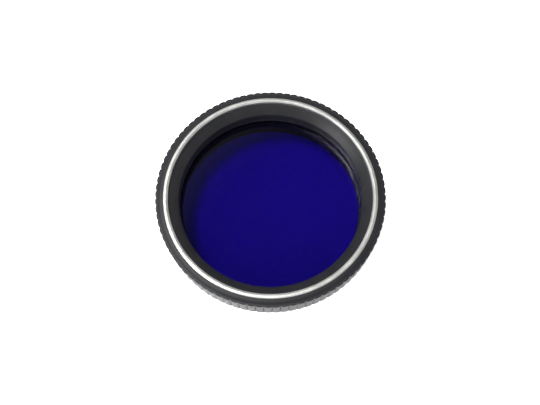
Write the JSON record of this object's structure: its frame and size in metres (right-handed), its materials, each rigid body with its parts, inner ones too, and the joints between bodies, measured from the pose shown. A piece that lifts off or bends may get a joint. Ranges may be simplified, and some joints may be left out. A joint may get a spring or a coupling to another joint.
{
  "type": "flashlight colour filter",
  "caption": "Round screw-in colour filter for a flashlight: ribbed black holder, bright trim ring, inward cone, and a deep blue flat glass held by a retaining ring.",
  "frame": {"origin": "centre of the rear face of the spigot, on the surface that the part lies on", "axes": "+Z along the optical axis, out of the front; X and Y are free round it, with one rib's crest on +X"},
  "size_m": [0.043, 0.043, 0.0122],
  "materials": {
    "black_anodised": "matt black hard anodised, turned",
    "bare_metal": "bare, fine bead-blasted satin",
    "seal_rubber": "matt black",
    "blue_glass": "clear, polished, deep blue all through"
  },
  "bodies": {
    "root": {"holder_ring": "black_anodised", "trim_ring": "bare_metal", "glass_seal": "seal_rubber", "filter_glass": "blue_glass", "retaining_ring": "black_anodised"}
  },
  "joints": []
}
